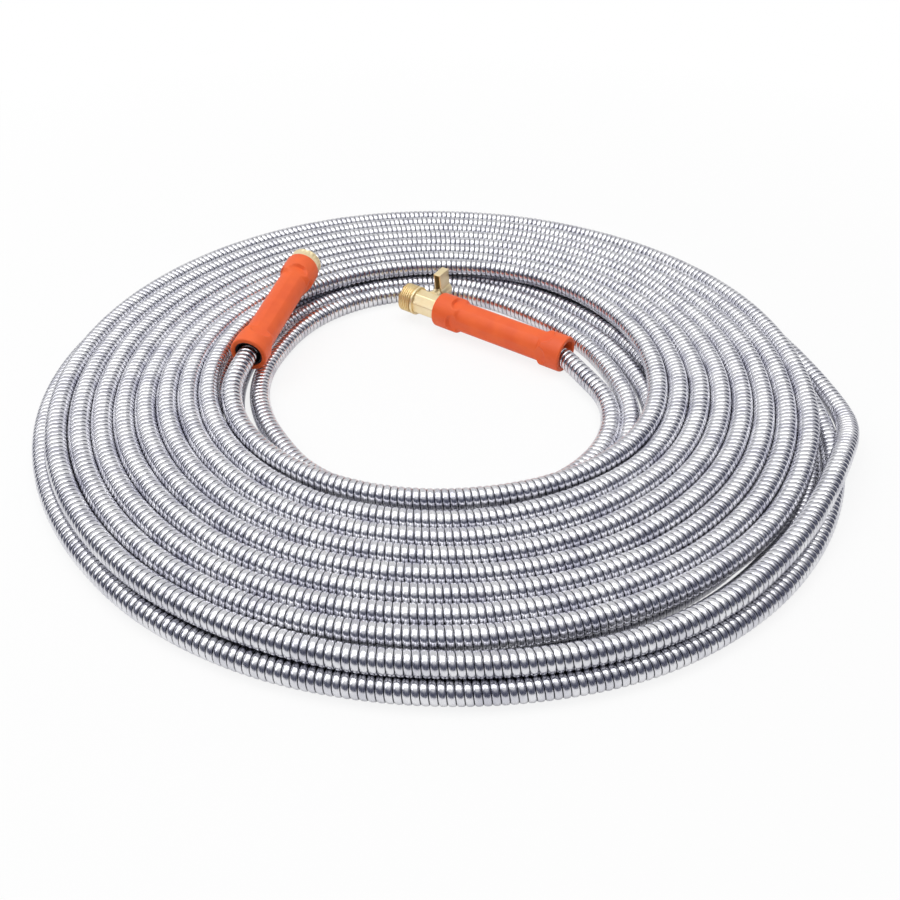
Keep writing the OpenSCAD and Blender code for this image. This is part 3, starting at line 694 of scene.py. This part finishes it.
def gripSkin(height, angle, roll):
    toRear = 1 - smoothShare(height, grip["rearLength"], grip["rearLength"] + grip["cone"])
    frontFrom = grip["length"] - grip["frontLength"]
    toFront = smoothShare(height, frontFrom - grip["cone"], frontFrom)
    middle = grip["middle"]
    radius = middle + toRear * (grip["rear"] - middle) + toFront * (grip["front"] - middle)
    half = grip["panelWidth"] / 2
    lowest = grip["rearLength"] - grip["panelReach"] + half
    highest = frontFrom + grip["panelReach"] - half
    for k in range(4):
        off = (angle - roll - k * math.pi / 2 + math.pi) % (2 * math.pi) - math.pi
        if abs(off) < 1:
            panel = (middle - grip["panelDepth"]) / math.cos(off)
            beyond = max(lowest - height, height - highest, 0)
            inside = half - math.hypot(panel * math.sin(off), beyond)
            depth = max(0, radius - panel)
            radius -= depth * smoothShare(inside, -grip["soft"], grip["soft"])
    beside = (angle - roll - math.pi / 4 + math.pi / 2) % math.pi - math.pi / 2
    return radius + grip["seam"] * max(0, 1 - abs(beside) / grip["seamHalf"])


def gripHeights():
    heights = [grip["rim"] * grip["rimPast"]]
    last = grip["length"] - grip["rim"] * grip["rimPast"]
    while heights[-1] < last - grip["fineStep"]:
        near = heights[-1] < grip["fineTo"] or heights[-1] > grip["fineFrom"]
        heights.append(heights[-1] + (grip["fineStep"] if near else grip["coarseStep"]))
    return heights[:-1] + [last]


def makeGrip(name, end, own, node):
    rim, length = grip["rim"], grip["length"]
    corner = numpy.radians(grip["cornerAngles"])
    rear = [(grip["rear"] - rim + rim * math.sin(t), rim - rim * math.cos(t)) for t in corner]
    front = [(grip["front"] - rim + rim * math.cos(t), length - rim + rim * math.sin(t)) for t in corner]
    skin = [(None, z) for z in gripHeights()]
    edge = grip["mouthEdge"]
    section = [(grip["mouth"] + edge, 0)] + rear + skin + front
    section += [(own["bore"] + edge / 2, length), (own["bore"], length - edge / 2),
                (own["bore"], own["boreFrom"]), (grip["bushBore"], own["boreFrom"]),
                (grip["bushBore"], own["tightTo"]), (grip["tight"], own["tightTo"]),
                (grip["tight"], own["tightFrom"]), (grip["sleeve"], own["tightFrom"]),
                (grip["sleeve"], grip["bushSeat"]), (grip["mouth"], grip["bushSeat"]),
                (grip["mouth"], edge), (grip["mouth"] + edge * roundedShare, edge * roundedShare)]
    roll = math.radians(own["roll"])

    def shape(radius, height, angle):
        return gripSkin(height, angle, roll) if radius is None else radius

    bm = bmesh.new()
    turned(bm, section, evenBearings(grip["sides"]), shape)
    finishPiece(name, bm, endFrame(end), grip["crisp"], "grip_rubber", "hose_and_ends", node)


makeGrip("outletGripSkin", outletEnd, outletGrip, "outlet_grip")
makeGrip("inletGripSkin", inletEnd, inletGrip, "inlet_grip")
print("grips moulded")

# Brass valve: a forged octagon with a round boss for the stem and a turned thread
valve = {
    "octagon": 0.0225, "octagonFrom": 0.1372, "octagonTo": 0.1625,
    "cornerHalf": 1.8,      # half the angle that an octagon's corner is cut over
    "neck": 0.012, "neckFrom": 0.13702, "neckTo": 0.139,
    "hidden": 0.0118, "hiddenFrom": 0.1341, "hiddenTo": 0.137,
    "collar": 0.0137, "collarTo": 0.165, "tip": 0.178, "core": 0.0121,
    "bore": 0.0047, "boreFrom": 0.1611, "cavity": 0.0094,
    "boss": 0.0065, "bossTop": 0.0172, "bossBore": 0.0036, "bossFoot": 0.0092,
    "fillet": 0.0013,       # then its profile, outwards and upwards, in shares of its size
    "filletRows": ((1, 0), (1, 1.3), (0.45, 1.75), (0.12, 2.3), (0, 3)),
    "stemAt": 0.153, "chamfer": 0.0004, "sides": 96, "crisp": 18,
}
maleThread = {"lead": 0.00221, "from": 0.1653, "to": 0.1776, "root": 0.01215, "crest": 0.01348,
              "rootShare": 0.16, "crestShare": 0.38, "sides": 72, "crisp": 30}


def stemAcross():
    return Matrix.Translation((0, 0, valve["stemAt"])) @ Matrix.Rotation(math.radians(-90), 4, "X")


def stemFrame():
    return endFrame(outletEnd) @ stemAcross()


def octagonBearings():
    corners = [math.radians(22.5 + 45 * k) for k in range(8)]
    half = math.radians(valve["cornerHalf"])
    return [c + t for c in corners for t in (-half, half, math.radians(22.5))]


# Takes the height as every shape does, though the octagon is the same all along
def octagonShape(radius, height, angle):
    off = (angle + math.pi / 8) % (math.pi / 4) - math.pi / 8
    return radius / math.cos(off)


def makeValve():
    v, c = valve, valve["chamfer"]
    half, around = v["octagon"] / 2, evenBearings(v["sides"])
    bm = bmesh.new()
    turned(bm, [(v["cavity"], v["octagonFrom"] + c), (v["cavity"] + c, v["octagonFrom"]),
                (half - c, v["octagonFrom"]), (half, v["octagonFrom"] + c),
                (half, v["octagonTo"] - c), (half - c, v["octagonTo"]), (v["cavity"], v["octagonTo"])],
           octagonBearings(), octagonShape)
    turned(bm, [(v["cavity"], v["hiddenFrom"]), (v["hidden"], v["hiddenFrom"]),
                (v["hidden"], v["hiddenTo"]), (v["neck"] - c / 2, v["neckFrom"]),
                (v["neck"], v["neckFrom"] + c / 2), (v["neck"], v["neckTo"] - c),
                (v["neck"] - c, v["neckTo"]), (v["cavity"], v["neckTo"])], around)
    turned(bm, [(v["bore"], v["boreFrom"]), (v["hidden"] - c, v["boreFrom"]),
                (v["hidden"] - c, v["octagonTo"]),
                (v["collar"] - c, v["octagonTo"]), (v["collar"], v["octagonTo"] + c),
                (v["collar"], v["collarTo"] - c), (v["collar"] - c, v["collarTo"]),
                (v["core"], v["collarTo"]), (v["core"], v["tip"] - 2 * c), (v["core"] - 2 * c, v["tip"]),
                (v["bore"] + 2 * c, v["tip"]), (v["bore"], v["tip"] - 2 * c)], around)
    f, foot = v["fillet"], v["bossFoot"]
    fillet = [(v["boss"] + f * out, foot + f * up) for out, up in v["filletRows"]]
    turned(bm, [(v["bossBore"], foot)] + fillet + [
        (v["boss"], v["bossTop"] - c), (v["boss"] - c, v["bossTop"]),
        (v["bossBore"] + c, v["bossTop"]), (v["bossBore"], v["bossTop"] - c)], around, None, stemAcross())
    finishPiece("valveForging", bm, endFrame(outletEnd), v["crisp"], "brass", "hose_and_ends",
                "valve_body")


# The ridge of a screw thread, wound on a straight line along the end's axis
def makeThread(name, end, thread, body, inward):
    place = endFrame(end)
    line = lineObject(name + "Line", [tuple(place @ Vector((0, 0, thread["from"]))),
                                      tuple(place @ Vector((0, 0, thread["to"])))])
    span = thread["to"] - thread["from"]
    piece = bakeNodes(name, winding, {
        "Line": line, "First Turn": -1.0, "Turns": int(span / thread["lead"]) + 3,
        "Lead": thread["lead"], "Root Radius": thread["root"], "Edge Radius": thread["root"],
        "Shoulder Radius": thread["crest"], "Crest Radius": thread["crest"],
        "Edge Share": thread["rootShare"], "Shoulder Share": thread["crestShare"],
        "Sides": thread["sides"], "Start": 0.0, "End": span,
        "Crisp Angle": math.radians(thread["crisp"]), "Turn Inside Out": inward,
        "Material": materials["brass"]})
    bpy.data.objects.remove(line)
    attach(piece, body)


makeValve()
makeThread("maleThread", outletEnd, maleThread, "hose_and_ends", False)
print("valve made")

# Swivel nut: plain rims, fluted between them, threaded inside
nut = {
    "radius": 0.0149, "from": 0.13, "to": 0.1475, "chamfer": 0.0006, "gripEnd": 0.137, "margin": 0.002,
    "flutes": 24, "fluteDepth": 0.0004, "fluteHalf": 0.3, "fluteEnd": 0.0006, "perFlute": 8,
    "thread": 0.0137, "threadFrom": 0.1389, "recess": 0.0132, "recessFrom": 0.1324, "hole": 0.00756,
    "crisp": 30,
}
femaleThread = {"lead": 0.00221, "from": 0.1392, "to": 0.1468, "root": 0.01372, "crest": 0.0128,
                "rootShare": 0.1, "crestShare": 0.36, "sides": 72, "crisp": 30}


def nutShape(radius, height, angle):
    if radius < nut["radius"]:
        return radius
    first, last = nut["gripEnd"] + nut["margin"], nut["to"] - nut["margin"]
    along = smoothShare(height, first, first + nut["fluteEnd"])
    along *= smoothShare(-height, -last, nut["fluteEnd"] - last)
    off = abs((angle * nut["flutes"] / (2 * math.pi) + 0.5) % 1 - 0.5)
    across = max(0, 1 - (off / nut["fluteHalf"]) ** 2)
    return radius - nut["fluteDepth"] * along * across


def makeNut():
    n, c = nut, nut["chamfer"]
    first, last = n["gripEnd"] + n["margin"], n["to"] - n["margin"]
    rows = [n["from"] + c, n["gripEnd"], first, first + n["fluteEnd"] / 2, first + n["fluteEnd"],
            last - n["fluteEnd"], last - n["fluteEnd"] / 2, last, n["to"] - c]
    section = [(n["hole"], n["from"]), (n["radius"] - c, n["from"])] + [(n["radius"], z) for z in rows]
    section += [(n["radius"] - c, n["to"]), (n["thread"] + c, n["to"]), (n["thread"], n["to"] - c),
                (n["thread"], n["threadFrom"]), (n["recess"], n["threadFrom"]),
                (n["recess"], n["recessFrom"]), (n["hole"], n["recessFrom"])]
    bm = bmesh.new()
    turned(bm, section, evenBearings(n["flutes"] * n["perFlute"]), nutShape)
    finishPiece("nutShell", bm, endFrame(inletEnd), n["crisp"], "brass", "swivel_nut", "inlet_nut")


makeNut()
makeThread("femaleThread", inletEnd, femaleThread, "swivel_nut", True)
print("nut made")

# Cast lever, hollow on the side of the valve, with a post for the stem and a pan-head screw
lever = {
    "from": 0.0183, "to": 0.0328, "reach": 0.022, "width": 0.0076, "hub": 0.0134, "wall": 0.0012,
    "web": 0.0016, "corner": 0.0008, "leastCorner": 0.0001, "soft": 0.0004, "lipShare": 0.6,
    "draft": 0.00015, "post": 0.0046, "postFrom": 0.0198, "square": 0.0051,
    "hubPoints": 40, "cornerPoints": 6, "postSides": 48, "crisp": 30,
}
screw = {
    "radius": 0.0034, "from": 0.03285, "to": 0.03475, "edge": 0.0002,
    "shank": 0.0015, "shankFrom": 0.0262, "crown": 0.0006,
    "rimDrop": 0.0004, "rimPower": 8,       # how the head rolls off at its rim
    "slotHalf": 0.00045, "slotReach": 0.0018, "slotDepth": 0.001, "slotSoft": 0.00012,
    "slotAbove": 0.0004, "rings": 22, "sides": 96, "crisp": 35,
}


# Plan of the lever seen along the stem, grown inwards by an inset
def leverPlan(inset):
    hub, half = lever["hub"] / 2 - inset, lever["width"] / 2 - inset
    tip, corner = lever["reach"] - inset, max(lever["corner"] - inset, lever["leastCorner"])
    meet = math.asin(half / hub)
    around = numpy.linspace(meet, 2 * math.pi - meet, lever["hubPoints"])
    plan = [(hub * math.cos(a), hub * math.sin(a)) for a in around]
    for centre, start in (((tip - corner, -half + corner), -90), ((tip - corner, half - corner), 0)):
        for a in numpy.radians(numpy.linspace(start, start + 90, lever["cornerPoints"])):
            plan.append((centre[0] + corner * math.cos(a), centre[1] + corner * math.sin(a)))
    return plan


def makeLever():
    low, high, soft, wall = lever["from"], lever["to"], lever["soft"], lever["wall"]
    under = high - lever["web"]
    loops = [(wall, low + soft), (wall - soft * lever["lipShare"], low), (soft, low), (0, low + soft),
             (0, high - soft), (soft * roundedShare, high - soft * roundedShare), (soft, high)]
    bm = bmesh.new()
    rings = [[bm.verts.new((x, y, z)) for x, y in leverPlan(inset)] for inset, z in loops]
    rings.insert(0, [bm.verts.new((x, y, under)) for x, y in leverPlan(wall + lever["draft"])])
    for lower, upper in zip(rings, rings[1:]):
        for i in range(len(lower)):
            j = (i + 1) % len(lower)
            bm.faces.new((lower[i], lower[j], upper[j], upper[i]))
    bm.faces.new(rings[-1])
    bm.faces.new(list(reversed(rings[0])))
    bmesh.ops.recalc_face_normals(bm, faces=bm.faces)
    half = lever["square"] / 2
    turned(bm, [(half, lever["postFrom"]), (lever["post"] - soft, lever["postFrom"]),
                (lever["post"], lever["postFrom"] + soft), (lever["post"], under + soft),
                (half, under + soft)], evenBearings(lever["postSides"]))
    finishPiece("leverCasting", bm, stemFrame(), lever["crisp"], "brass", "valve_lever", "lever")


def makeScrew():
    bm = bmesh.new()
    top, base, crown, edge = screw["to"], screw["from"], screw["crown"], screw["edge"]
    section = [(screw["shank"], base), (screw["radius"] - edge, base), (screw["radius"], base + edge)]
    for t in numpy.linspace(0, 1, screw["rings"]):
        reach = screw["radius"] * (1 - t)
        drop = crown * (1 - t) ** 2
        section.append((reach, top - drop - screw["rimDrop"] * (1 - t) ** screw["rimPower"]))
    section += [(0, screw["shankFrom"]), (screw["shank"], screw["shankFrom"])]
    turned(bm, section, evenBearings(screw["sides"]))
    for vert in bm.verts:
        x, y = abs(vert.co.x), abs(vert.co.y)
        if vert.co.z > base + screw["slotAbove"]:
            slot = min(screw["slotHalf"] - min(x, y), screw["slotReach"] - max(x, y))
            sunk = smoothShare(slot, -screw["slotSoft"], screw["slotSoft"])
            vert.co.z = min(vert.co.z, vert.co.z + sunk * (top - screw["slotDepth"] - vert.co.z))
    finishPiece("leverScrewHead", bm, stemFrame(), screw["crisp"], "screw_steel", "valve_lever",
                "lever_screw")


makeLever()
makeScrew()
print("lever made")

# Pieces whose built shape is kept
slotOf = {
    "steel_jacket": ["outlet_jacket_end", "inlet_jacket_end"],
    "brass": ["outlet_tail", "inlet_tail", "stem"],
    "seal_rubber": ["outlet_bush", "inlet_bush", "tail_seal", "stem_seals", "hose_washer"],
    "seat_plastic": ["rear_seat", "front_seat"],
    "liner_plastic": ["outlet_liner_end", "inlet_liner_end"],
    "ferrule_steel": ["outlet_ferrule", "inlet_ferrule"],
    "chrome": ["ball"],
}
for slot, names in slotOf.items():
    for name in names:
        mesh = nodes[name].data
        mesh.materials.clear()
        mesh.materials.append(materials[slot])

studio = {
    "floorSize": 12, "floorColor": (0.9, 0.9, 0.9, 1), "floorRoughness": 0.9, "floorLift": 0.85,
    "floorGloss": 0.35,     # share of the lift that the steel sees
    "shadowFrom": 0.45, "shadowTo": 1.1,    # the floor is plain white from here outwards
    "ambient": 0.5, "gloss": 0.74,          # the world for soft light, and as the steel sees it
    # Dark cloth round the front: bearings, radius and heights, and how bright it is low and high
    "clothFrom": -198, "clothTo": 22, "clothRadius": 3.0, "clothLow": 0.0, "clothHigh": 3.4,
    "clothPosts": 33, "clothDark": (0.07, 0.075, 0.115, 1), "clothPale": (0.40, 0.41, 0.46, 1),
    "clothDarkTo": 1.9,     # dark up to this height
    "overhead": {"place": (-0.2, 0.12, 2.6), "size": (3.2, 1.8), "power": 41,
                 "target": (-0.2, 0.1201, 0)},
    "leftFill": {"place": (-2.0, -0.8, 1.9), "size": (1, 1), "power": 8, "target": (0, 0, 0)},
}


# Full strength to the camera, a share of it to the steel and none to the light
def seen(tree, gloss):
    path = addNode(tree, "ShaderNodeLightPath").outputs
    glossy = maths(tree, "MAXIMUM", path["Is Glossy Ray"], path["Is Transmission Ray"])
    mirrored = maths(tree, "MULTIPLY", glossy, gloss)
    return maths(tree, "MAXIMUM", path["Is Camera Ray"], mirrored)


def makeFloor():
    bm = bmesh.new()
    bmesh.ops.create_grid(bm, x_segments=1, y_segments=1, size=studio["floorSize"])
    material, tree, shader = newMaterial("floorPaper", studio["floorRoughness"], Specular_IOR_Level=0.0)
    shader.inputs["Base Color"].default_value = studio["floorColor"]
    white = outNode(tree, "ShaderNodeEmission", {"Strength": 1.0})
    away = addNode(tree, "ShaderNodeVectorMath", {0: objectVector(tree)},
                   operation="LENGTH").outputs["Value"]
    lift = outNode(tree, "ShaderNodeMapRange", {
        "Value": away, "From Min": studio["shadowFrom"], "From Max": studio["shadowTo"],
        "To Min": studio["floorLift"], "To Max": 1.0})
    share = maths(tree, "MULTIPLY", seen(tree, studio["floorGloss"]), lift)
    mix = addNode(tree, "ShaderNodeMixShader", {0: share})
    tree.links.new(shader.outputs[0], mix.inputs[1])
    tree.links.new(white, mix.inputs[2])
    output = next(n for n in tree.nodes if n.type == "OUTPUT_MATERIAL")
    tree.links.new(mix.outputs[0], output.inputs["Surface"])
    floor = newObject("floor", meshFrom("floor", bm, material))


def makeCloth():
    bm = bmesh.new()
    bearings = numpy.linspace(studio["clothFrom"], studio["clothTo"], studio["clothPosts"])
    radius, foot = studio["clothRadius"], studio["clothLow"]
    low = [bm.verts.new((radius * math.cos(a), radius * math.sin(a), foot)) for a in numpy.radians(bearings)]
    high = [bm.verts.new((v.co.x, v.co.y, studio["clothHigh"])) for v in low]
    for i in range(len(low) - 1):
        bm.faces.new((low[i], low[i + 1], high[i + 1], high[i]))
    material, tree, shader = newMaterial("darkCloth", 1.0, Base_Color=(0, 0, 0, 1), Emission_Strength=1.0)
    height = addNode(tree, "ShaderNodeSeparateXYZ", {0: objectVector(tree)}).outputs["Z"]
    colour = useGroup(tree, tone, {
        "Mask": height, "Low": studio["clothDark"], "High": studio["clothPale"],
        "From": studio["clothDarkTo"], "To": studio["clothHigh"]})["Color"]
    tree.links.new(colour, shader.inputs["Emission Color"])
    cloth = newObject("cloth", meshFrom("cloth", bm, material))
    cloth.visible_camera = cloth.visible_shadow = cloth.visible_diffuse = False


def makeWorld():
    world = bpy.data.worlds.new("studio")
    scene.world = world
    world.use_nodes = True
    tree = world.node_tree
    background = next(n for n in tree.nodes if n.type == "BACKGROUND")
    background.inputs["Color"].default_value = (1, 1, 1, 1)
    share = (studio["gloss"] - studio["ambient"]) / (1 - studio["ambient"])
    strength = outNode(tree, "ShaderNodeMapRange", {
        "Value": seen(tree, share), "To Min": studio["ambient"], "To Max": 1.0})
    tree.links.new(strength, background.inputs["Strength"])


def makeLamp(name):
    own = studio[name]
    lamp = bpy.data.lights.new(name, "AREA")
    lamp.shape = "RECTANGLE"
    lamp.size, lamp.size_y = own["size"]
    lamp.energy = own["power"]
    holder = newObject(name, lamp)
    holder.location = own["place"]
    aim = Vector(own["target"]) - Vector(own["place"])
    holder.rotation_euler = aim.to_track_quat("-Z", "Y").to_euler()


makeFloor()
makeCloth()
makeWorld()
makeLamp("overhead")
makeLamp("leftFill")
print("stage lit")

scene.view_settings.view_transform = "Standard"
